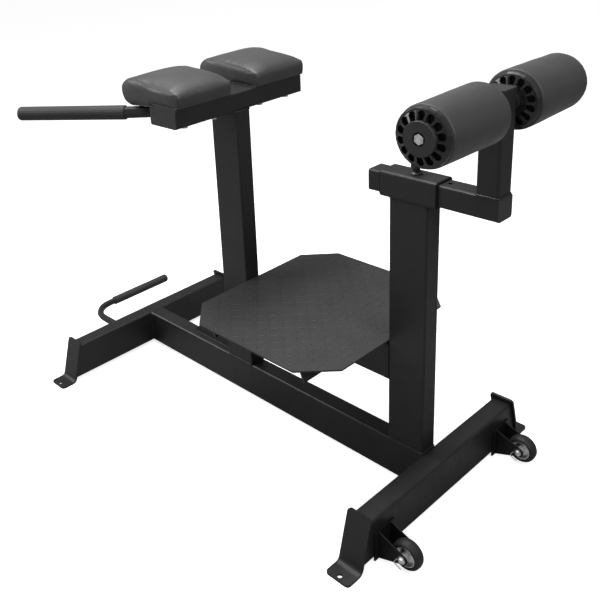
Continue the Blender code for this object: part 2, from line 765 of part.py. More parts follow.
def build_pad(label, side):
    """A cushion cage: side outlines strung along Y and drawn in at both ends, then subdivided."""
    section = pad_section()
    seat = HIP_BEAM_TOP + GAP
    front_x = HIP_BEAM_X + BEAM_DEEP / 2
    middle_x = (front_x + PAD_REAR_X) / 2
    middle_z = (PAD_LOW_Z + PAD_TOP_Z) / 2
    half_x = middle_x - PAD_REAR_X
    half_z = middle_z - PAD_LOW_Z
    middle_y = (PAD_INNER_Y + PAD_OUTER_Y) / 2
    half_y = (PAD_OUTER_Y - PAD_INNER_Y) / 2
    ends = ((1.0, 0.75), (0.99, 0.22), (0.93, 0.0), (0.76, 0.0), (0.40, 0.0))
    stations = [(-where, inset) for where, inset in ends] + [*reversed(ends)]
    build = bmesh.new()
    rings = []
    for where, inset in stations:
        shrink_x = 1 - inset * PAD_EDGE / half_x / 2
        shrink_z = 1 - inset * PAD_EDGE / half_z
        drawn_back = pad_plan_drop(half_y * (1 - abs(where)))
        ring = []
        for x, z in section:
            on_seat = abs(z - seat) < GAP / 2
            forward = min(1.0, max(0.0, 1 - (front_x - x) / 0.055))
            fall = pad_top_drop(x, where) * min(1.0, max(0.0, z - middle_z) / (half_z * 0.6))
            new_x = middle_x + (x - middle_x) * shrink_x - drawn_back * forward
            new_z = z if on_seat else middle_z + (z - middle_z) * shrink_z - fall
            y = side * (middle_y + where * half_y) + PAD_SHIFT_Y
            ring.append(build.verts.new(world(new_x, y, new_z)))
        rings.append(ring)
    count = len(section)
    for first, second in zip(rings, rings[1:]):
        for i in range(count):
            j = (i + 1) % count
            build.faces.new((first[i], first[j], second[j], second[i]))
    build.faces.new(rings[0])
    build.faces.new(rings[-1])
    name = f"hip_pad_{label}"
    mesh = mesh_from_bmesh(name, build)
    pad = bpy.data.objects.new(name, mesh)
    PARTS.objects.link(pad)
    mesh.materials.append(material(VINYL))
    soften = pad.modifiers.new("soft", "SUBSURF")
    soften.levels = 1
    soften.render_levels = 1
    return pad


def build_pads():
    for label, side in SIDES:
        size, at = build_pad_board(label, side)
        pad = to_mesh(build_pad(label, side))
        over_beam = HIP_BEAM_X - BEAM_DEEP / 2 - PAD_SEAT_START - ORIGIN_X
        for vertex in pad.data.vertices:
            if vertex.co.x > over_beam:
                vertex.co.z = max(vertex.co.z, HIP_BEAM_TOP + GAP)
        pad.data.shade_smooth()
        pocket = (size[0] + 2 * GAP, size[1] + 2 * GAP, size[2] + 0.012)
        pocket_z = HIP_BEAM_TOP + GAP + BOARD_THICK + GAP - pocket[2] / 2
        cut_box(pad, pocket, (at[0], at[1], pocket_z))


def grip_profile(outer, inner, length, closed_end):
    """A grip with a bore from its low end and a domed top."""
    edge = outer * GRIP_EDGE_RATIO
    bend = edge * GRIP_EDGE_BEND
    return [
        (0, length),
        (outer - edge, length),
        (outer - bend, length - bend),
        (outer, length - edge),
        (outer, 0.0012),
        (outer - 0.0012, 0),
        (inner, 0),
        (inner, length - closed_end),
        (0, length - closed_end),
    ]


def build_grip(name, outer, inner, start, end, overhang):
    """A rubber grip over the last straight of a tube, closed a little past its tip."""
    start, end = Vector(start), Vector(end)
    length = (end - start).length + overhang
    grip = turned(name, grip_profile(outer, inner, length, overhang - 0.002), 20, GRIP, start)
    turn = (end - start).to_track_quat("Z", "Y").to_matrix().to_4x4()
    grip.matrix_world = Matrix.Translation(world(*start)) @ turn
    return grip


def build_handles():
    face_x = HIP_BEAM_X - BEAM_DEEP / 2 - GAP
    path = round_path(HIP_HANDLE_PATH, 0.09, 4)
    tube = to_mesh(bent_tube("hip_handle_tube", path, HIP_HANDLE_R, 0.002, 2, PAINT))
    heading = (Vector(path[1]) - Vector(path[0])).normalized()
    for vertex in tube.data.vertices:
        if (vertex.co - Vector(path[0])).dot(heading) < 0.001:
            vertex.co += heading * (face_x - vertex.co.x) / heading.x
    build_grip("hip_handle_grip", HIP_GRIP_R, HIP_HANDLE_R + GAP, HIP_HANDLE_PATH[-2], GRIP_TIP, HIP_GRIP_END)
    reach = -LIFT_REACH_X
    start_x = -(BEAM_THIN / 2 + GAP)
    corners = ((start_x, LIFT_START_Y, LIFT_Z), (reach, LIFT_START_Y, LIFT_Z), (reach, LIFT_TIP_Y, LIFT_Z))
    path = [Vector(corners[0])]
    centre = Vector((reach + LIFT_BEND_R, LIFT_START_Y + LIFT_BEND_R, LIFT_Z))
    for step in range(9):
        angle = math.radians(270 - 90 * step / 8)
        path.append(centre + LIFT_BEND_R * Vector((math.cos(angle), math.sin(angle), 0)))
    path.append(Vector(corners[2]))
    bent_tube("lift_handle_tube", path, LIFT_R, 0.002, 2, PAINT)
    grip_start = (reach, LIFT_GRIP_START_Y, LIFT_Z)
    build_grip("lift_handle_grip", LIFT_GRIP_R, LIFT_R + GAP, grip_start, corners[2], LIFT_GRIP_END)


def build_sleeve():
    middle_x = SLEEVE_REAR_X + SLEEVE_LENGTH / 2
    across = (SLEEVE_SIDE, SLEEVE_SIDE)
    tube = (SLEEVE_WALL, SLEEVE_CORNER)
    sleeve = rect_tube("slide_sleeve", across, SLEEVE_LENGTH, PAINT, (middle_x, 0, BAR_Z), "+X", *tube)
    sleeve = to_mesh(sleeve)
    cut_cylinder(sleeve, PIN_HOLE_R, 0.012, (LOCK_X, 0, SLEEVE_TOP), segments=16)
    inner = SLIDE_SIDE + 2 * GAP
    outer = SLEEVE_SIDE - 2 * SLEEVE_WALL - 2 * GAP
    for label, side, end_x in (("rear", -1, SLEEVE_REAR_X), ("front", 1, SLEEVE_REAR_X + SLEEVE_LENGTH)):
        name = f"sleeve_liner_{label}"
        hole = rounded_rectangle(inner, inner, SLIDE_CORNER, 3)
        body = rounded_rectangle(outer, outer, LINER_CORNER, 2)
        lip = rounded_rectangle(SLEEVE_SIDE - 0.002, SLEEVE_SIDE - 0.002, SLEEVE_CORNER, 3)
        ring_x = end_x - side * (LINER_DEPTH / 2 - 0.0005)
        lip_x = end_x + side * (GAP + LINER_LIP / 2)
        first = extruded(name, (body, hole), LINER_DEPTH + 0.001, LINER, (ring_x, 0, BAR_Z), "+X")
        second = extruded(f"{name}_lip", (lip, hole), LINER_LIP, LINER, (lip_x, 0, BAR_Z), "+X")
        union(first, second)


def build_carriage():
    middle_x = (BAR_REAR_X + BAR_FRONT_X) / 2
    length = BAR_FRONT_X - BAR_REAR_X
    across = (SLIDE_SIDE, SLIDE_SIDE)
    bar = rect_tube("slide_bar", across, length, PAINT, (middle_x, 0, BAR_Z), "+X", BEAM_WALL, SLIDE_CORNER)
    bar = to_mesh(bar)
    for step in HOLE_STEPS:
        cut_cylinder(bar, PIN_HOLE_R, 0.012, (LOCK_X + step * HOLE_PITCH, 0, BAR_TOP), segments=16)
    for label, side, end_x in (("rear", -1, BAR_REAR_X), ("front", 1, BAR_FRONT_X)):
        at = (end_x + side * (GAP + CAP_THICK / 2), 0, BAR_Z)
        cap = end_cap(f"slide_bar_cap_{label}", across, BEAM_WALL, SLIDE_CORNER, PLASTIC, at, "+X")
        if side < 0:
            cap.matrix_world = cap.matrix_world @ Matrix.Rotation(math.pi, 4, "Y")
    low = BAR_TOP + GAP
    at = (UPRIGHT_X, 0, (low + UPRIGHT_TOP) / 2)
    tube = (BEAM_WALL, SLIDE_CORNER)
    upright = to_mesh(rect_tube("roller_upright", across, UPRIGHT_TOP - low, PAINT, at, "+Z", *tube))
    cut_cylinder(upright, AXLE_R + GAP, SLIDE_SIDE * 1.4, (UPRIGHT_X, 0, ROLLER_Z), "+Y", 24)
    at = (UPRIGHT_X, 0, UPRIGHT_TOP + GAP + CAP_THICK / 2)
    end_cap("roller_upright_cap", across, BEAM_WALL, SLIDE_CORNER, PLASTIC, at, "+Z")


def build_axle():
    """The fixed cross axle: tapped at both ends, with a welded stop ring behind each roller."""
    half = ROLLER_OUTER_Y + HUB_SEAT_H
    bore = END_BOLT_R + GAP
    deep = half - END_BOLT_DEEP
    ring_out = ROLLER_INNER_Y - HUB_SEAT_H - GAP
    ring_in = ring_out - STOP_RING_LENGTH
    edge = 0.001
    one_end = [
        (0, deep),
        (bore, deep),
        (bore, half),
        (AXLE_R - edge, half),
        (AXLE_R, half - edge),
        (AXLE_R, ring_out),
        (STOP_RING_R, ring_out),
        (STOP_RING_R, ring_in),
        (AXLE_R, ring_in),
    ]
    profile = one_end + mirrored(one_end)
    turned("roller_axle", profile, 16, AXLE_STEEL, (UPRIGHT_X, 0, ROLLER_Z), "+Y")
    for label, side in SIDES:
        build_retaining_disc(label, side, half + GAP)


def build_retaining_disc(label, side, low):
    """The disc that holds a roller on, with the end bolt's head sunk in its middle."""
    turn = "-Y" if side < 0 else "+Y"
    bore = END_BOLT_R + GAP
    floor = low + DISC_FLOOR
    top = low + DISC_THICK
    edge = 0.001
    section = [
        (bore, floor),
        (DISC_RECESS_R, floor),
        (DISC_RECESS_R, top),
        (DISC_R - edge, top),
        (DISC_R, top - edge),
        (DISC_R, low),
        (bore, low),
    ]
    name = f"roller_retaining_disc_{label}"
    turned(name, section, 24, PLASTIC, (UPRIGHT_X, 0, ROLLER_Z), turn, closed=True)
    head_low = floor + GAP
    at = (UPRIGHT_X, side * head_low, ROLLER_Z)
    reach = 0.0005
    shank_length = END_BOLT_DEEP - DISC_FLOOR
    profile = [(0, reach), (END_BOLT_R, reach), (END_BOLT_R, -shank_length), (0, -shank_length)]
    name = f"roller_end_bolt_{label}"
    shank = turned(name, profile, 16, ZINC, at, turn)
    head_at = (UPRIGHT_X, side * (head_low + END_BOLT_HEAD / 2), ROLLER_Z)
    head = extruded(f"{name}_head", [hex_points(END_BOLT_AF, 30)], END_BOLT_HEAD, ZINC, head_at, turn)
    union(shank, head)


def pocket_outline(index):
    """One petal recess of a roller hub: straight ribs beside it and a round outer end."""
    pitch = math.tau / HUB_POCKETS
    turn = (index + 0.5) * pitch
    length = POCKET_OUT_R - POCKET_IN_R
    half = []
    for along, share in ((0.0, 1.0), (0.76, 0.94), (1.0, 0.40)):
        radius = POCKET_IN_R + length * along
        half.append((radius, share * (pitch / 2 - HUB_RIB_HALF / radius)))
    shape = half + [(radius, -angle) for radius, angle in reversed(half)]
    return [(r * math.cos(turn + angle), r * math.sin(turn + angle)) for r, angle in shape]


def build_hub(name, face_y, turn):
    """A fluted roller end hub with a round rim, whose ribs rise from the rim to the retaining disc."""
    bore = AXLE_R + RUN_GAP
    seat_r = DISC_R + 2 * GAP
    rim = HUB_RIM_R - POCKET_OUT_R
    section = [
        (bore, HUB_SEAT_H),
        (seat_r, HUB_SEAT_H),
        (seat_r, HUB_CROWN_H),
        (POCKET_OUT_R, 0.0006),
        (POCKET_OUT_R + rim * 0.40, 0),
        (POCKET_OUT_R + rim * 0.88, -HUB_RIM_H * 0.36),
        (HUB_RIM_R, -HUB_RIM_H),
        (HUB_PLUG_R, -HUB_RIM_H),
        (HUB_PLUG_R, -HUB_PLUG_H),
        (bore, -HUB_PLUG_H),
    ]
    hub = turned(name, section, HUB_POCKETS * 2, HUB_PLASTIC, (UPRIGHT_X, face_y, ROLLER_Z), turn, closed=True)
    outlines = [pocket_outline(i) for i in range(HUB_POCKETS)]
    curve = flat_curve(f"{name}_pockets", outlines, 2 * POCKET_DEPTH)
    cutter = add_object(f"{name}_pockets", curve, None, (UPRIGHT_X, face_y, ROLLER_Z), turn, cutter=True)
    cutter = to_mesh(cutter)
    cutter.hide_render = True
    cutter.display_type = "WIRE"
    cut(hub, cutter)


def build_foam(label, side, outward):
    """A foam sleeve that is a little fuller at its inner end, with a recess for a hub at both ends."""
    half = (ROLLER_OUTER_Y - ROLLER_INNER_Y) / 2 - HUB_RIM_H - GAP
    recess = half - (HUB_PLUG_H - HUB_RIM_H)
    pocket_r = HUB_PLUG_R + GAP
    full_r = ROLLER_R + ROLLER_FLARE
    edge = ROLLER_EDGE
    section = [
        (pocket_r, half),
        (ROLLER_R - edge, half),
        (ROLLER_R, half - edge),
        (full_r, -half * 0.6),
        (full_r, edge - half),
        (full_r - edge, -half),
        (pocket_r, -half),
        (pocket_r, -recess),
        (FOAM_BORE_R, -recess),
        (FOAM_BORE_R, recess),
        (pocket_r, recess),
    ]
    centre = (UPRIGHT_X, side * (ROLLER_OUTER_Y + ROLLER_INNER_Y) / 2, ROLLER_Z)
    turned(f"roller_foam_{label}", section, 32, ROLLER_SKIN, centre, outward, closed=True)


def build_rollers():
    for label, side in SIDES:
        outward = "-Y" if side < 0 else "+Y"
        inward = "+Y" if side < 0 else "-Y"
        build_hub(f"roller_hub_{label}_outer", side * ROLLER_OUTER_Y, outward)
        build_hub(f"roller_hub_{label}_inner", side * ROLLER_INNER_Y, inward)
        build_foam(label, side, outward)


def build_lock():
    base = SLEEVE_TOP + GAP
    bore_top = HOUSING_H - HOUSING_LID
    section = [
        (STEM_R + RUN_GAP, HOUSING_H),
        (HOUSING_R, HOUSING_H),
        (HOUSING_R, HOUSING_BASE_H),
        (HOUSING_BASE_R, HOUSING_TOE),
        (HOUSING_BASE_R, 0),
        (HOUSING_BORE_R, 0),
        (HOUSING_BORE_R, bore_top),
        (STEM_R + RUN_GAP, bore_top),
    ]
    turned("lock_pin_housing", section, 20, PAINT, (LOCK_X, 0, base), closed=True)
    tip = BAR_TOP + PIN_CLEAR
    collar_low = base + PIN_TRAVEL + GAP
    collar_high = collar_low + COLLAR_H
    knob_low = base + HOUSING_BASE_H + PIN_TRAVEL + RUN_GAP
    knob_high = knob_low + KNOB_H
    knob_floor = base + HOUSING_H + PIN_TRAVEL + RUN_GAP
    stem_top = knob_floor - GAP
    profile = [
        (0, stem_top),
        (STEM_R, stem_top),
        (STEM_R, collar_high),
        (COLLAR_R, collar_high),
        (COLLAR_R, collar_low),
        (PIN_R, collar_low),
        (PIN_R, tip + 0.001),
        (PIN_R - 0.001, tip),
        (0, tip),
    ]
    turned("lock_pin", [(r, z - tip) for r, z in profile], 16, ZINC, (LOCK_X, 0, tip))
    build_knob(knob_low, knob_high, knob_floor)
    build_spring(collar_high + GAP, base + bore_top - GAP)


def build_knob(low, high, floor):
    """A lobed pull knob, hollow below so that it can drop over the housing."""
    steps = KNOB_LOBES * 6
    outline = []
    for i in range(steps):
        angle = math.tau * i / steps
        wave = 0.5 + 0.5 * math.cos(KNOB_LOBES * angle)
        radius = KNOB_R * (1 - KNOB_WAVE + KNOB_WAVE * wave)
        outline.append((radius * math.cos(angle), radius * math.sin(angle)))
    top = max(high, floor + KNOB_TOP)
    knob = to_mesh(extruded("lock_knob", [outline], top - low, PLASTIC, (LOCK_X, 0, (low + top) / 2)))
    bore = HOUSING_R + RUN_GAP
    cut_cylinder(knob, bore, 2 * (floor - low), (LOCK_X, 0, low), segments=20)


def build_spring(low, high):
    """A compression spring between the pin's collar and the housing's top."""
    count = SPRING_TURNS * 10
    rise = high - low - 2 * SPRING_WIRE_R
    curve = bpy.data.curves.new("lock_spring", "CURVE")
    curve.dimensions = "3D"
    curve.bevel_depth = SPRING_WIRE_R
    curve.bevel_resolution = 0
    curve.use_fill_caps = True
    spline = curve.splines.new("POLY")
    spline.points.add(count)
    for i, point in enumerate(spline.points):
        angle = math.tau * SPRING_TURNS * i / count
        point.co = (SPRING_COIL_R * math.cos(angle), SPRING_COIL_R * math.sin(angle), rise * i / count, 1.0)
    add_object("lock_spring", curve, SPRING_STEEL, (LOCK_X, 0, low + SPRING_WIRE_R))


def fork_side(front_x):
    """The side outline of a castor fork, from the beam's face to the round nose at the axle."""
    points = [(front_x, FORK_TOP), (front_x, FORK_BOTTOM)]
    start = -95
    end = 55
    for step in range(9):
        angle = math.radians(start + (end - start) * step / 8)
        points.append((WHEEL_X + NOSE_R * math.cos(angle), WHEEL_Z + NOSE_R * math.sin(angle)))
    return points


def build_fork(label, side):
    """A pressed fork: a base against the beam and two cheeks that taper to the axle."""
    name = f"caster_fork_{label}"
    face_x = BEAM_SPAN + BEAM_THIN / 2 + GAP
    centre_y = side * WHEEL_Y
    cheeks = to_mesh(upright_plate(name, fork_side(face_x), 2 * CHEEK_OUT, FORK_PAINT, centre_y))
    inner = 2 * (CHEEK_OUT - CHEEK_THICK)
    slot_x = face_x + FORK_BASE_THICK + 0.1
    cut_box(cheeks, (0.2, inner, 0.2), (slot_x, centre_y, WHEEL_Z))
    cheeks = to_mesh(cheeks)
    size = (FORK_BASE_THICK, 2 * FORK_HALF, FORK_TOP - FORK_BOTTOM)
    at = (face_x + FORK_BASE_THICK / 2, centre_y, (FORK_TOP + FORK_BOTTOM) / 2)
    base = add_object(f"{name}_base", box_mesh(f"{name}_base", size), FORK_PAINT, at)
    fork = union(cheeks, base)
    cut_cylinder(fork, WHEEL_AXLE_R + GAP, 3 * CHEEK_OUT, (WHEEL_X, centre_y, WHEEL_Z), "+Y", 16)


def build_wheel(label, side):
    centre = (WHEEL_X, side * WHEEL_Y, WHEEL_Z)
    rim = TYRE_HALF - RIM_INSET
    half_tyre = [
        (RIM_R + GAP, rim),
        (WHEEL_R - TYRE_CROWN - 0.003, TYRE_HALF),
        (WHEEL_R - TYRE_CROWN, rim),
        (WHEEL_R - 0.001, TYRE_HALF * 0.55),
    ]
    tyre = half_tyre + [(WHEEL_R, 0)] + mirrored(half_tyre)
    turned(f"caster_tyre_{label}", tyre, 28, TYRE, centre, "+Y", closed=True)
    bore = WHEEL_AXLE_R + GAP
    half = CHEEK_OUT - CHEEK_THICK - RUN_GAP
    half_hub = [
        (bore, half),
        (WHEEL_BOSS_R, half),
        (WHEEL_BOSS_R, TYRE_HALF / 2),
        (WHEEL_WEB_R, TYRE_HALF / 3),
        (RIM_R - 0.002, rim),
        (RIM_R, rim),
    ]
    hub = half_hub + mirrored(half_hub)
    turned(f"caster_wheel_hub_{label}", hub, 20, WHEEL_METAL, centre, "+Y", closed=True)


def build_axle_bolt(label, side):
    """A castor axle bolt with a domed outer nut and a hex head inside."""
    turn = "-Y"
    face = CHEEK_OUT + GAP
    flange = face + 0.0022
    dome = face + 0.0085
    head = face + 0.0055
    profile = [
        (0, dome),
        (0.0035, dome - 0.0007),
        (0.0060, dome - 0.0030),
        (0.0066, flange + 0.0008),
        (0.0090, flange),
        (0.0090, face),
        (WHEEL_AXLE_R, face),
        (WHEEL_AXLE_R, -face),
        (0.0082, -face),
        (0.0082, -head),
        (0, -head),
    ]
    name = f"caster_axle_bolt_{label}"
    turned(name, profile, 16, ZINC, (WHEEL_X, side * WHEEL_Y, WHEEL_Z), turn)


def build_casters():
    for label, side in SIDES:
        build_fork(label, side)
        build_wheel(label, side)
        build_axle_bolt(label, side)


clear_scene()
PARTS = new_collection("hyperextension_bench")
CUTTERS = new_collection("cutters")
build_base()
build_posts()
build_step()
build_hip_beam()
build_pad_bolts()
build_pads()
build_handles()
build_sleeve()
build_carriage()
build_axle()
build_rollers()
build_lock()
build_casters()
bpy.context.view_layer.update()
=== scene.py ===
"""Looks of the horizontal hyperextension bench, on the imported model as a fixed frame."""

import json
import math

import bmesh
import bpy
from mathutils import Matrix, Vector, noise


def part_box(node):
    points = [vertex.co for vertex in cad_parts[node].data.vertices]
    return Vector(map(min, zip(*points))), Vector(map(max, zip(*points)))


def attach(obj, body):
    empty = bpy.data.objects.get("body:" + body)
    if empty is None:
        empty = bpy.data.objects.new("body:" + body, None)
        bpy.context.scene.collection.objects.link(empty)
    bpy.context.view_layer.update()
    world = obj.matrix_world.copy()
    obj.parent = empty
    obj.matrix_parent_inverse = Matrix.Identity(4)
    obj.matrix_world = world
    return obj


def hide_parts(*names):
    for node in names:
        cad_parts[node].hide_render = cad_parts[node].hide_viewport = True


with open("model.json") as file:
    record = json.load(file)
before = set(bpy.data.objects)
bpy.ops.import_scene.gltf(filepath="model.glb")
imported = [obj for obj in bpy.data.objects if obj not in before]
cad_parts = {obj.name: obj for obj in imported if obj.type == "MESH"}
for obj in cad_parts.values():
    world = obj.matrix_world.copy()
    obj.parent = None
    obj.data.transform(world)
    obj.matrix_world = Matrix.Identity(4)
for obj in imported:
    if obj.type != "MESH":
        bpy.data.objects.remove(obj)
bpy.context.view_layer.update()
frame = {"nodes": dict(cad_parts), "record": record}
NODES = frame["nodes"]
SLOT_OF = {s["node"]: s["material_slot"] for s in frame["record"]["subparts"]}


def box_centre(node):
    low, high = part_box(node)
    return (low + high) / 2


# Bench positions are measured from the rear cross beam's centre line, on the floor.
REAR = box_centre("rear_cross_beam")


def bench(x, y, z):
    return Vector((REAR.x + x, REAR.y + y, z))


# Node materials


def node(tree, kind, **values):
    made = tree.nodes.new(kind)
    for name, value in values.items():
        setattr(made, name, value)
    return made


def set_inputs(made, **values):
    for name, value in values.items():
        made.inputs[name.replace("_", " ")].default_value = value


def noise_of(tree, coords, scale, detail=3.0, rough=0.55):
    made = node(tree, "ShaderNodeTexNoise")
    set_inputs(made, Scale=scale, Detail=detail, Roughness=rough)
    tree.links.new(coords, made.inputs["Vector"])
    return made.outputs["Fac"]


def spread(tree, factor, low, high):
    """Turns the middle of a 0 to 1 factor into numbers between low and high."""
    made = node(tree, "ShaderNodeMapRange")
    set_inputs(made, From_Min=0.3, From_Max=0.7, To_Min=low, To_Max=high)
    tree.links.new(factor, made.inputs["Value"])
    return made.outputs["Result"]


def shades(tree, factor, colour, vary):
    """A colour that wanders between a darker and a lighter shade of itself."""
    ramp = node(tree, "ShaderNodeValToRGB")
    darker, lighter = ramp.color_ramp.elements
    darker.position = 0.3
    lighter.position = 0.7
    darker.color = (*(c * (1 - vary) for c in colour), 1)
    lighter.color = (*(c * (1 + vary) for c in colour), 1)
    tree.links.new(factor, ramp.inputs["Fac"])
    return ramp.outputs["Color"]


def bumped(tree, height, strength, distance, under=None):
    made = node(tree, "ShaderNodeBump")
    set_inputs(made, Strength=strength, Distance=distance)
    tree.links.new(height, made.inputs["Height"])
    if under:
        tree.links.new(under, made.inputs["Normal"])
    return made.outputs["Normal"]


def new_surface(name, metallic, specular):
    made = bpy.data.materials.new(name)
    made.use_nodes = True
    tree = made.node_tree
    shader = tree.nodes["Principled BSDF"]
    shader.inputs["Metallic"].default_value = metallic
    shader.inputs["Specular IOR Level"].default_value = specular
    coords = node(tree, "ShaderNodeTexCoord").outputs["Object"]
    return made, tree, shader, coords


def surface(name, colour, rough, metallic=0.0, specular=0.5, vary=0.12, patch=14.0, grain=900.0, depth=0.25):
    """A painted, moulded or plated surface: clouds of shade, uneven gloss and a fine grain."""
    made, tree, shader, coords = new_surface(name, metallic, specular)
    clouds = noise_of(tree, coords, patch, 4.0)
    tree.links.new(shades(tree, clouds, colour, vary), shader.inputs["Base Color"])
    gloss = noise_of(tree, coords, patch * 3.1)
    tree.links.new(spread(tree, gloss, rough - 0.05, rough + 0.05), shader.inputs["Roughness"])
    fine = noise_of(tree, coords, grain, 2.0)
    tree.links.new(bumped(tree, fine, depth, 0.0002), shader.inputs["Normal"])
    return made


def vinyl(name, colour, rough, specular, grain, depth):
    """Upholstery vinyl: pebble grain in cells, softened by broad clouds of shade and gloss."""
    made, tree, shader, coords = new_surface(name, 0.0, specular)
    clouds = noise_of(tree, coords, 9.0, 4.0)
    tree.links.new(shades(tree, clouds, colour, 0.10), shader.inputs["Base Color"])
    gloss = noise_of(tree, coords, 31.0)
    tree.links.new(spread(tree, gloss, rough - 0.05, rough + 0.06), shader.inputs["Roughness"])
    cells = node(tree, "ShaderNodeTexVoronoi", feature="SMOOTH_F1")
    set_inputs(cells, Scale=grain, Smoothness=0.6)
    tree.links.new(coords, cells.inputs["Vector"])
    pebbles = bumped(tree, cells.outputs["Distance"], depth, 0.0003)
    creases = noise_of(tree, coords, 60.0, 5.0, 0.7)
    tree.links.new(bumped(tree, creases, 0.10, 0.0008, pebbles), shader.inputs["Normal"])
    set_inputs(shader, Sheen_Weight=0.08, Sheen_Roughness=0.4)
    return made


def plated(name, colour, rough):
    """Zinc plating: patches of duller and brighter metal with a fine spangle."""
    made, tree, shader, coords = new_surface(name, 1.0, 0.5)
    clouds = noise_of(tree, coords, 120.0, 4.0)
    tree.links.new(shades(tree, clouds, colour, 0.16), shader.inputs["Base Color"])
    tree.links.new(spread(tree, clouds, rough - 0.08, rough + 0.10), shader.inputs["Roughness"])
    fine = noise_of(tree, coords, 1500.0, 2.0)
    tree.links.new(bumped(tree, fine, 0.25, 0.0001), shader.inputs["Normal"])
    return made


BLACK_PAINT = (0.0125, 0.0125, 0.0128)
# The step plate wears the same black paint as the frame; its colour here is lighter than BLACK_PAINT as a
# painted reflection of the bright sky over the plate.
PLATE_BLACK_WITH_PAINTED_REFLECTION = (0.029, 0.029, 0.0295)
FORK_BLACK = (0.009, 0.009, 0.0095)
ZINC = (0.92, 0.92, 0.90)
LOOKS = {
    "painted_steel": surface("powder_coat", BLACK_PAINT, 0.42, specular=0.42, grain=1300.0, depth=0.30),
    # The plate's coat: black paint lightened as a painted reflection, also on the tread lugs.
    "plate_paint": surface("plate_coat_with_painted_reflection", PLATE_BLACK_WITH_PAINTED_REFLECTION, 0.50, specular=0.35, patch=8.0, depth=0.30),
    "fork_paint": surface("fork_coat", FORK_BLACK, 0.45, specular=0.35),
    "pad_vinyl": vinyl("pad_vinyl_grain", (0.034, 0.034, 0.035), 0.50, 0.42, 620.0, 0.30),
    "roller_skin": vinyl("roller_vinyl_grain", (0.032, 0.032, 0.033), 0.52, 0.40, 900.0, 0.22),
    "pad_board_ply": surface("plywood", (0.30, 0.20, 0.115), 0.75, vary=0.2, patch=30.0),
    "grip_rubber": surface("grip_foam", (0.028, 0.028, 0.029), 0.62, specular=0.35, grain=1600.0, depth=0.5),
    "tyre_rubber": surface("tyre_rubber", (0.019, 0.019, 0.020), 0.50, specular=0.4),
    "black_plastic": surface("cap_plastic", (0.024, 0.024, 0.025), 0.46, specular=0.45),
    "hub_plastic": surface("hub_moulding", (0.016, 0.016, 0.017), 0.24, specular=0.6, depth=0.08),
    "liner_plastic": surface("liner_moulding", (0.004, 0.004, 0.0042), 0.6, specular=0.2),
    "zinc_fastener": plated("zinc_plate", ZINC, 0.38),
    "axle_steel": surface("axle_black", (0.030, 0.030, 0.031), 0.40, metallic=0.5),
    "wheel_hub_zinc": plated("wheel_zinc", ZINC, 0.36),
    "spring_steel": plated("spring_steel", (0.42, 0.42, 0.43), 0.35),
}


def dress(piece, slot):
    piece.data.materials.clear()
    piece.data.materials.append(LOOKS[slot])


# New pieces


def add_piece(name, verts, faces, slot, body="frame"):
    mesh = bpy.data.meshes.new(name)
    mesh.from_pydata([tuple(v) for v in verts], [], faces)
    build = bmesh.new()
    build.from_mesh(mesh)
    bmesh.ops.recalc_face_normals(build, faces=build.faces)
    build.to_mesh(mesh)
    build.free()
    mesh.shade_smooth()
    piece = bpy.data.objects.new(name, mesh)
    bpy.context.scene.collection.objects.link(piece)
    dress(piece, slot)
    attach(piece, body)
    return piece


def ring_faces(rings, closed=False):
    """The rings' points, quads between rings of equal counts, and caps on both open ends."""
    count = len(rings[0])
    verts = [p for ring in rings for p in ring]
    faces = []
    pairs = len(rings) if closed else len(rings) - 1
    for r in range(pairs):
        low, high = r * count, (r + 1) % len(rings) * count
        for i in range(count):
            j = (i + 1) % count
            faces.append((low + i, low + j, high + j, high + i))
    if not closed:
        faces.append(tuple(range(count)))
        faces.append(tuple(reversed(range(len(verts) - count, len(verts)))))
    return verts, faces


def swept(points, radius, sides=8, closed=False):
    """Rings of a round section along a path. radius is a number or a function of the index."""
    rings = []
    total = len(points)
    side = None
    for i, point in enumerate(points):
        before = points[i - 1] if i or closed else point
        after = points[(i + 1) % total] if i < total - 1 or closed else point
        ahead = (after - before).normalized()
        if side is None:
            side = ahead.orthogonal().normalized()
        side = (side - ahead * side.dot(ahead)).normalized()
        other = ahead.cross(side)
        size = radius(i) if callable(radius) else radius
        ring = []
        for k in range(sides):
            turn = math.tau * k / sides
            ring.append(point + size * (math.cos(turn) * side + math.sin(turn) * other))
        rings.append(ring)
    return rings


def evenly(points, spacing):
    """A path resampled at even steps."""
    made = [points[0]]
    left = spacing
    for a, b in zip(points, points[1:]):
        length = (b - a).length
        at = left
        while at < length:
            made.append(a.lerp(b, at / length))
            at += spacing
        left = at - length
    made.append(points[-1])
    return made


# Hip pads


PAD_FRONT = 0.502
PAD_REAR = 0.2825
PAD_SEAT = 0.9283
PAD_LOW = 0.9195
PAD_TOP = 0.994
PAD_INNER = 0.0415
PAD_OUTER = 0.2315
PAD_SHIFT = 0.0085
PAD_STEPS = 208
END_INSET = 0.0034
END_BULGE = 0.0050
SHOULDER = 0.0100
CORNER_R = 0.010
CORNER_REACH = 0.055
PAD_MID_X = (PAD_FRONT + PAD_REAR) / 2
PAD_MID_Y = (PAD_INNER + PAD_OUTER) / 2
PAD_MID_Z = 0.955
PAD_HALF_Y = (PAD_OUTER - PAD_INNER) / 2
PAD_HALF_Z = 0.037
SEAM_Y = PAD_HALF_Y - END_BULGE
SEATED_FROM = 0.396
SEAT_EDGE = 0.39
SEAT_FLAT = 0.0008
PUCKERS_ABOVE_SEAT = 0.002
WELT_ABOVE_SEAT = 0.003
DOME_FROM = 0.950
DOME_RISE = 0.022
DOME_POWER = 3.5
SEAM_DIP = 0.0015
SEAM_LIP = 0.0002
SEAM_TUCK = 1.12
PUCKER_INSET = 0.006
PUCKER_REACH = 0.011
FINE_FOLD = 0.0008
WIDE_FOLD = 0.0007
FOAM_WAVE = 0.0008
PANEL_SHARES = (0.10, 0.25, 0.42, 0.58, 0.72, 0.83, 0.91, 0.96, 0.985)
SEAM_RING = len(PANEL_SHARES)
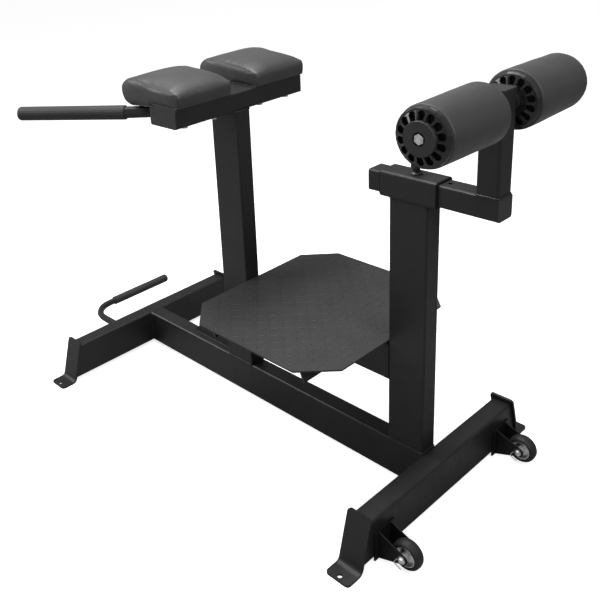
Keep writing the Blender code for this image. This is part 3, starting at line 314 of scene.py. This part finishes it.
OUTER_SEAM = (
    (0.270, 0.982), (0.345, 0.9870), (0.367, 0.985), (0.395, 0.9775),
    (0.425, 0.9735), (0.475, 0.9725), (0.490, 0.9700), (0.510, 0.964),
)
INNER_SEAM = (
    (0.270, 0.982), (0.345, 0.9865), (0.385, 0.9830), (0.417, 0.9805),
    (0.444, 0.9785), (0.463, 0.976), (0.480, 0.9725), (0.4925, 0.9685), (0.510, 0.962),
)
WELT_R = 0.00085
WELT_WAVE = 0.00012
POCKET_GAP = 0.0004
POCKET_BELOW = 0.012


def pad_outline():
    """The pad's side outline at its middle in (x, z): a hanging rear roll and a rounded front."""
    return [
        (PAD_FRONT - 0.002, PAD_SEAT),
        (PAD_FRONT + 0.0032, PAD_SEAT + 0.003),
        (PAD_FRONT + 0.0065, PAD_SEAT + 0.018),
        (PAD_FRONT + 0.0045, 0.960),
        (PAD_FRONT - 0.0075, 0.974),
        (PAD_FRONT - 0.030, 0.9845),
        (PAD_FRONT - 0.065, 0.991),
        (PAD_REAR + 0.121, PAD_TOP),
        (PAD_REAR + 0.081, PAD_TOP),
        (PAD_REAR + 0.045, 0.991),
        (PAD_REAR + 0.017, 0.981),
        (PAD_REAR - 0.002, 0.966),
        (PAD_REAR - 0.0065, 0.949),
        (PAD_REAR - 0.002, 0.931),
        (PAD_REAR + 0.011, 0.9175),
        (PAD_REAR + 0.032, PAD_LOW - 0.0075),
        (PAD_REAR + 0.068, 0.9145),
        (0.386, 0.9168),
        (0.4000, 0.9250),
        (0.412, PAD_SEAT),
        (0.452, PAD_SEAT),
    ]


def end_seam_height(x, heights):
    """How high the sewn edge runs at a pad's end, which is lower in front than on the rear roll."""
    for (x0, z0), (x1, z1) in zip(heights, heights[1:]):
        if x <= x1:
            share = min(1.0, max(0.0, (x - x0) / (x1 - x0)))
            return z0 + (z1 - z0) * share
    return heights[-1][1]


def pad_point(x, z, y, inset, share):
    """A point of the outline moved for its place across the pad: domed, drawn in and round in plan."""
    where = min(1.0, abs(y) / SEAM_Y)
    from_end = max(END_BULGE, PAD_HALF_Y - abs(y))
    upper = min(1.0, max(0.0, (z - DOME_FROM) / DOME_RISE))
    heights = OUTER_SEAM if y > 0 else INNER_SEAM
    fall = max(0.0, z + SEAM_DIP - end_seam_height(x, heights)) * where**DOME_POWER * upper
    across = max(0.0, CORNER_R - from_end)
    drawn = CORNER_R - math.sqrt(CORNER_R**2 - across**2)
    forward = min(1.0, max(0.0, 1 - (PAD_FRONT - x) / CORNER_REACH))
    scale_x = (1 - inset / (PAD_MID_X - PAD_REAR)) * share
    scale_z = (1 - inset / PAD_HALF_Z) * share
    moved_x = PAD_MID_X + (x - drawn * forward - PAD_MID_X) * scale_x
    moved_z = PAD_MID_Z + (z - fall - PAD_MID_Z) * scale_z
    return moved_x, moved_z


def smooth_loop(points, count):
    """A closed outline resampled along a rounded curve through its points."""
    made = []
    total = len(points)
    for i in range(count):
        spot = total * i / count
        k = int(spot)
        t = spot - k
        a, b, c, d = (Vector(points[(k + shift) % total]) for shift in (-1, 0, 1, 2))
        first = (c - a) * t
        second = (2 * a - 5 * b + 4 * c - d) * t**2
        third = (3 * b - a - 3 * c + d) * t**3
        made.append(0.5 * (2 * b + first + second + third))
    return made


def pad_stations():
    """Places across one pad as (y, share, inset): end panel, sewn edge, shoulder, top, and the same again."""
    stations = [(PAD_HALF_Y - END_BULGE * share**5, share, END_INSET) for share in PANEL_SHARES]
    stations.append((SEAM_Y - SEAM_LIP, 1.0, END_INSET * SEAM_TUCK))
    for step in range(1, 9):
        turn = math.pi / 2 * step / 8
        y = SEAM_Y - SHOULDER * (1 - math.cos(turn))
        stations.append((y, 1.0, END_INSET * (1 - math.sin(turn))))
    for step in range(1, 16):
        stations.append(((SEAM_Y - SHOULDER) * (1 - step / 16) ** 0.92, 1.0, 0.0))
    mirrored = [(-y, share, inset) for y, share, inset in reversed(stations)]
    return stations + [(0.0, 1.0, 0.0)] + mirrored


def pad_rings(side):
    """Rings across one pad, with the part of its underside that sits on the beam kept flat."""
    outline = smooth_loop(pad_outline(), PAD_STEPS)
    rings = []
    for y, share, inset in pad_stations():
        ring = []
        for x, z in outline:
            seated = x > SEATED_FROM and z < PAD_SEAT + SEAT_FLAT and share == 1
            new_x, new_z = pad_point(x, z, y, inset, share)
            ring.append(Vector((new_x, side * (PAD_MID_Y + y) + PAD_SHIFT, PAD_SEAT if seated else new_z)))
        rings.append(ring)
    return rings


def pad_puckers(piece, side):
    """Small folds that run into the sewn edges, and an uneven foam."""
    mesh = piece.data
    normals = [v.normal.copy() for v in mesh.vertices]
    for vertex, normal in zip(mesh.vertices, normals):
        place = vertex.co - bench(0, 0, 0)
        if place.z < PAD_SEAT + PUCKERS_ABOVE_SEAT and place.x > SEAT_EDGE:
            continue
        from_seam = SEAM_Y - abs(side * (place.y - PAD_SHIFT) - PAD_MID_Y)
        near_seam = math.exp(-(((from_seam - PUCKER_INSET) / PUCKER_REACH) ** 2))
        along = Vector((place.x * 92, place.z * 92, 5.0 * side))
        wide = Vector((place.x * 30, place.z * 30, 9.0 * side))
        fold = (noise.noise(along) * FINE_FOLD + noise.noise(wide) * WIDE_FOLD) * near_seam
        foam = noise.noise(place * 17) * FOAM_WAVE
        vertex.co += normal * (fold + foam)
    mesh.update()


def pad_seam(label, side):
    """The sewn edge as a thin welt that stands just out of the cover at each end."""
    rings = pad_rings(side)
    for end, index in (("inner", SEAM_RING), ("outer", len(rings) - 1 - SEAM_RING)):
        path = []
        for p in rings[index]:
            if p.z < PAD_SEAT + WELT_ABOVE_SEAT and p.x > SEAT_EDGE:
                continue
            path.append(bench(0, 0, 0) + p)
        start = max(range(len(path)), key=lambda i: (path[i] - path[i - 1]).length)
        path = path[start:] + path[:start]
        verts, faces = ring_faces(swept(path, lambda i: WELT_R + WELT_WAVE * math.sin(i * 1.9), 6))
        add_piece(f"hip_pad_welt_{label}_{end}", verts, faces, "pad_vinyl")


def pocket_cutter(label):
    """A box round the pad's board with a small gap, open downwards."""
    low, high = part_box(f"hip_pad_board_{label}")
    grow = Vector((POCKET_GAP, POCKET_GAP, POCKET_GAP))
    size = high - low + 2 * grow
    size.z += POCKET_BELOW
    centre = (low + high) / 2
    centre.z = high.z + grow.z - size.z / 2
    build = bmesh.new()
    bmesh.ops.create_cube(build, size=1.0, matrix=Matrix.Translation(centre) @ Matrix.Diagonal((*size, 1.0)))
    mesh = bpy.data.meshes.new(f"board_pocket_{label}")
    build.to_mesh(mesh)
    build.free()
    cutter = bpy.data.objects.new(f"board_pocket_{label}", mesh)
    bpy.context.scene.collection.objects.link(cutter)
    return cutter


def build_pad(label, side):
    rings = [[bench(0, 0, 0) + p for p in ring] for ring in pad_rings(side)]
    verts, faces = ring_faces(rings)
    pad = add_piece(f"hip_pad_cover_{label}", verts, faces, "pad_vinyl")
    pad_puckers(pad, side)
    cutter = pocket_cutter(label)
    cut = pad.modifiers.new("pocket", "BOOLEAN")
    cut.object = cutter
    cut.solver = "EXACT"
    bpy.context.view_layer.update()
    graph = bpy.context.evaluated_depsgraph_get()
    mesh = bpy.data.meshes.new_from_object(pad.evaluated_get(graph))
    pad.modifiers.clear()
    pad.data = mesh
    dress(pad, "pad_vinyl")
    bpy.data.objects.remove(cutter, do_unlink=True)
    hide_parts(f"hip_pad_{label}")


# Foot rollers


FOAM_OUTER_R = 0.060
FOAM_FLARE = 0.0020
FOAM_EDGE = 0.0042
FOAM_LIP = 0.0062
FOAM_UNEVEN = 0.0005
ROLLER_STEPS = 84


def build_roller(label, side):
    """A vinyl-covered foam sleeve with turned-in edges, a little fuller towards its inner end."""
    low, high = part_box(f"roller_foam_{label}")
    centre = (low + high) / 2
    half = (high.y - low.y) / 2
    profile = [(half, -FOAM_LIP)]
    for step in range(7):
        turn = math.pi / 2 * step / 6
        profile.append((half - FOAM_EDGE * (1 - math.cos(turn)), -FOAM_EDGE * (1 - math.sin(turn))))
    edge = profile[:]
    for step in range(1, 30):
        profile.append(((half - FOAM_EDGE) * (1 - step / 15), 0.0002))
    profile += [(-y, drop) for y, drop in reversed(edge)]
    rings = []
    for y, drop in profile:
        full = FOAM_OUTER_R + FOAM_FLARE * min(1.0, (half - y) / (1.6 * half))
        ring = []
        for k in range(ROLLER_STEPS):
            turn = math.tau * k / ROLLER_STEPS
            spot = Vector((math.cos(turn) * 2.1, y * 26 + side, math.sin(turn) * 2.1))
            size = full + drop + FOAM_UNEVEN * noise.noise(spot)
            ring.append(centre + Vector((size * math.cos(turn), side * y, size * math.sin(turn))))
        rings.append(ring)
    verts, faces = ring_faces(rings)
    roller = add_piece(f"roller_cover_{label}", verts, faces, "roller_skin", f"{label}_roller")
    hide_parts(f"roller_foam_{label}")


# Step plate tread


PLATE_CHAMFER_X = 0.078
PLATE_CHAMFER_Y = 0.079
LUG_PITCH = 0.0232
LUG_LENGTH = 0.021
LUG_WIDTH = 0.0056
LUG_RISE = 0.0009
LUG_POINTS = 12
LUG_MARGIN = 0.012
LUG_CORNER_MARGIN = 0.018


def lug_places(half_x, half_y):
    """Grid places inside the plate's outline, as (x, y, turn), each turned across its neighbours."""
    slant = PLATE_CHAMFER_Y / PLATE_CHAMFER_X
    across, along = int(half_x / LUG_PITCH), int(half_y / LUG_PITCH)
    for i in range(-across, across + 1):
        for j in range(-along, along + 1):
            x, y = i * LUG_PITCH, j * LUG_PITCH
            if abs(x) > half_x - LUG_MARGIN or abs(y) > half_y - LUG_MARGIN:
                continue
            if (half_x - abs(x)) * slant + (half_y - abs(y)) < PLATE_CHAMFER_Y + LUG_CORNER_MARGIN:
                continue
            yield x, y, math.radians(45 if (i + j) % 2 else -45)


def add_lug(verts, faces, base, turn):
    """One raised lug with pointed ends, as three rings and two caps."""
    ahead = Vector((math.cos(turn), math.sin(turn), 0))
    side = Vector((-ahead.y, ahead.x, 0))
    first = len(verts)
    outline = []
    for k in range(LUG_POINTS):
        angle = math.tau * k / LUG_POINTS
        reach = math.cos(angle) * LUG_LENGTH / 2
        wide = math.sin(angle) * LUG_WIDTH / 2 * (1 - 0.35 * abs(math.cos(angle)))
        outline.append((reach, wide))
    for share, rise in ((1.0, -0.0002), (0.92, LUG_RISE * 0.45), (0.62, LUG_RISE)):
        for reach, wide in outline:
            verts.append(base + ahead * reach * share + side * wide * share + Vector((0, 0, rise)))
    for row in range(2):
        low = first + row * LUG_POINTS
        high = low + LUG_POINTS
        for k in range(LUG_POINTS):
            m = (k + 1) % LUG_POINTS
            faces.append((low + k, low + m, high + m, high + k))
    faces.append(tuple(first + 2 * LUG_POINTS + k for k in range(LUG_POINTS)))
    faces.append(tuple(first + LUG_POINTS - 1 - k for k in range(LUG_POINTS)))


def build_tread():
    low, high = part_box("step_plate")
    centre = (low + high) / 2
    verts, faces = [], []
    for x, y, turn in lug_places((high.x - low.x) / 2, (high.y - low.y) / 2):
        add_lug(verts, faces, Vector((centre.x + x, centre.y + y, high.z)), turn)
    add_piece("step_plate_tread", verts, faces, "plate_paint")


# Weld beads


BEAD = 0.0021
BEAD_STEP = 0.0022
RIPPLE = 0.16
SWELL = 0.10
TUBE_CORNER = 0.0045


def bead(name, path, size=BEAD, closed=False, body="frame"):
    """A weld bead: a thin painted fillet with the ripple of a hand-run weld."""
    def ripple(i):
        return size * (1 + RIPPLE * math.sin(i * 2.1) + SWELL * math.sin(i * 0.37))

    verts, faces = ring_faces(swept(path, ripple, 8, closed), closed)
    add_piece(name, verts, faces, "painted_steel", body)


def straight_bead(name, start, end, size=BEAD):
    bead(name, evenly([Vector(start), Vector(end)], BEAD_STEP), size)


def ring_bead(name, node_name, end, body="frame"):
    """A bead all round an upright tube's foot (end 0) or head (end 1)."""
    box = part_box(node_name)
    low, high = box
    centre = (low + high) / 2
    centre.z = box[end].z
    reach_x = (high.x - low.x) / 2 - TUBE_CORNER
    reach_y = (high.y - low.y) / 2 - TUBE_CORNER
    points = []
    for sign_x, sign_y, start in ((1, 1, 0), (-1, 1, 90), (-1, -1, 180), (1, -1, 270)):
        for step in range(5):
            turn = math.radians(start + 90 * step / 4)
            x = sign_x * reach_x + TUBE_CORNER * math.cos(turn)
            y = sign_y * reach_y + TUBE_CORNER * math.sin(turn)
            points.append(centre + Vector((x, y, 0)))
    bead(name, evenly(points + [points[0]], BEAD_STEP)[:-1], closed=True, body=body)


def side_beads(name, node_name, below, above):
    """Upright beads at the four corners of a lengthwise tube."""
    low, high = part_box(node_name)
    for end, x in (("rear", low.x), ("front", high.x)):
        for label, y in (("near", low.y), ("far", high.y)):
            straight_bead(f"{name}_{end}_weld_{label}", (x, y, low.z + below), (x, y, high.z - above))


def build_welds():
    ring_bead("hip_post_foot_weld", "hip_post", 0)
    ring_bead("hip_post_head_weld", "hip_post", 1)
    ring_bead("roller_post_foot_weld", "roller_post", 0)
    ring_bead("roller_post_head_weld", "roller_post", 1)
    ring_bead("roller_upright_weld", "roller_upright", 0, "roller_carriage")
    side_beads("central_beam", "central_beam", 0.006, 0.004)
    low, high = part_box("central_beam")
    for end, x in (("rear", low.x), ("front", high.x)):
        ends = ((x, low.y + 0.004, high.z), (x, high.y - 0.004, high.z))
        straight_bead(f"central_beam_{end}_weld_top", *ends, BEAD * 0.8)
    low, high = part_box("hip_post_gusset")
    for label, y in (("near", low.y), ("far", high.y)):
        straight_bead(f"gusset_foot_weld_{label}", (low.x + 0.004, y, low.z), (high.x - 0.004, y, low.z))
        straight_bead(f"gusset_stem_weld_{label}", (high.x, y, low.z + 0.006), (high.x, y, high.z - 0.003))
    side_beads("step_rail", "step_rail", 0.005, 0.005)


# Castor clips


CLIP_SIDE = 0.0262
CLIP_R = 0.0011
CLIP_ROUTE = (
    (-0.0105, -0.0020), (-0.0150, -0.0085), (-0.0178, -0.0150), (-0.0160, -0.0172),
    (-0.0110, -0.0196), (-0.0045, -0.0228), (0.0005, -0.0250),
)


def build_clip(label):
    """The bent wire clip that hangs at the castor's axle, outside the near cheek."""
    wheel = box_centre(f"caster_tyre_{label}")
    points = evenly([wheel + Vector((x, -CLIP_SIDE, z)) for x, z in CLIP_ROUTE], 0.0012)
    verts, faces = ring_faces(swept(points, CLIP_R, 8))
    add_piece(f"caster_clip_{label}", verts, faces, "zinc_fastener")


# Stage: floor, world, lights and camera


FLOOR_HALF = 14.0
FLOOR_GLOW = 0.80
FLOOR_PALE = 0.80
FLOOR_BOUNCE = 0.30
WORLD_LIGHT = 0.22
WHITE = (1, 1, 1, 1)


def build_floor():
    """A floor that is white to the camera, keeps the shadow, and throws little light back."""
    signs = ((-1, -1), (1, -1), (1, 1), (-1, 1))
    corners = [(sign_x * FLOOR_HALF, sign_y * FLOOR_HALF, 0) for sign_x, sign_y in signs]
    mesh = bpy.data.meshes.new("floor")
    mesh.from_pydata(corners, [], [(0, 1, 2, 3)])
    floor = bpy.data.objects.new("floor", mesh)
    bpy.context.scene.collection.objects.link(floor)
    made = bpy.data.materials.new("floor_pale")
    made.use_nodes = True
    tree = made.node_tree
    shader = tree.nodes["Principled BSDF"]
    set_inputs(shader, Roughness=0.9, Specular_IOR_Level=0.0, Emission_Color=WHITE)
    rays = node(tree, "ShaderNodeLightPath")
    shade = node(tree, "ShaderNodeMath", operation="MULTIPLY_ADD")
    shade.inputs[1].default_value = FLOOR_PALE - FLOOR_BOUNCE
    shade.inputs[2].default_value = FLOOR_BOUNCE
    tree.links.new(rays.outputs["Is Camera Ray"], shade.inputs[0])
    tree.links.new(shade.outputs[0], shader.inputs["Base Color"])
    strength = node(tree, "ShaderNodeMath", operation="MULTIPLY")
    strength.inputs[1].default_value = FLOOR_GLOW
    tree.links.new(rays.outputs["Is Camera Ray"], strength.inputs[0])
    tree.links.new(strength.outputs[0], shader.inputs["Emission Strength"])
    mesh.materials.append(made)


def build_world():
    """A soft studio light that the camera sees as plain white."""
    world = bpy.data.worlds.new("studio")
    bpy.context.scene.world = world
    world.use_nodes = True
    tree = world.node_tree
    lit = tree.nodes["Background"]
    set_inputs(lit, Strength=WORLD_LIGHT, Color=WHITE)
    pale = node(tree, "ShaderNodeBackground")
    set_inputs(pale, Strength=1.0, Color=WHITE)
    rays = node(tree, "ShaderNodeLightPath")
    mix = node(tree, "ShaderNodeMixShader")
    tree.links.new(rays.outputs["Is Camera Ray"], mix.inputs["Fac"])
    tree.links.new(lit.outputs[0], mix.inputs[1])
    tree.links.new(pale.outputs[0], mix.inputs[2])
    tree.links.new(mix.outputs[0], tree.nodes["World Output"].inputs["Surface"])


def add_softbox(name, at, target, size, power, beam=180):
    """An area light of so many watts. beam is the angle in degrees that it spreads over."""
    data = bpy.data.lights.new(name, "AREA")
    data.shape = "RECTANGLE"
    data.size, data.size_y = size
    data.energy = power
    data.spread = math.radians(beam)
    lamp = bpy.data.objects.new(name, data)
    lamp.location = at
    lamp.rotation_euler = (Vector(target) - Vector(at)).to_track_quat("-Z", "Y").to_euler()
    bpy.context.scene.collection.objects.link(lamp)


def build_lights():
    add_softbox("top_softbox", (-0.2, 0.0, 3.0), (0.0, 0.0, 0.5), (2.6, 2.2), 62)
    add_softbox("overhead_key", (-0.62, -0.25, 3.0), (0.0, 0.0, 0.5), (0.45, 0.45), 36)
    add_softbox("rear_left_softbox", (-2.4, -1.7, 1.9), (0.0, 0.0, 0.6), (1.6, 1.6), 56)
    add_softbox("front_fill", (2.3, -0.4, 2.1), (0.2, 0.0, 1.0), (1.0, 1.0), 6, 70)


CAMERA_AT = (2.010853, -1.418366, 1.431948)
CAMERA_AZIMUTH = math.radians(50.177)
CAMERA_ELEVATION = math.radians(20.223)
CAMERA_ROLL = math.radians(-4.6)
CAMERA_LENS = 48.921
CAMERA_SENSOR = 36
CAMERA_SHIFT = (0.16403, -0.18674)


def build_camera():
    """The photograph's camera: it stands high at the front near corner and looks down along the bench."""
    back = Vector((
        math.sin(CAMERA_AZIMUTH) * math.cos(CAMERA_ELEVATION),
        -math.cos(CAMERA_AZIMUTH) * math.cos(CAMERA_ELEVATION),
        math.sin(CAMERA_ELEVATION),
    ))
    right = Vector((math.cos(CAMERA_AZIMUTH), math.sin(CAMERA_AZIMUTH), 0))
    up = back.cross(right)
    turned_right = math.cos(CAMERA_ROLL) * right + math.sin(CAMERA_ROLL) * up
    turned_up = math.cos(CAMERA_ROLL) * up - math.sin(CAMERA_ROLL) * right
    data = bpy.data.cameras.new("camera")
    data.sensor_width = CAMERA_SENSOR
    data.lens = CAMERA_LENS
    data.shift_x, data.shift_y = CAMERA_SHIFT
    data.clip_end = 60
    camera = bpy.data.objects.new("camera", data)
    rotation = Matrix((turned_right, turned_up, back)).transposed().to_4x4()
    camera.matrix_world = Matrix.Translation(bench(*CAMERA_AT)) @ rotation
    bpy.context.scene.collection.objects.link(camera)
    bpy.context.scene.camera = camera


def main():
    for name, piece in NODES.items():
        dress(piece, SLOT_OF[name])
    for label, side in (("near", -1), ("far", 1)):
        build_pad(label, side)
        pad_seam(label, side)
        build_roller(label, side)
        build_clip(label)
    build_tread()
    build_welds()
    build_floor()
    build_world()
    build_lights()
    build_camera()
    bpy.context.scene.view_settings.view_transform = "Standard"
    bpy.context.view_layer.update()


main()
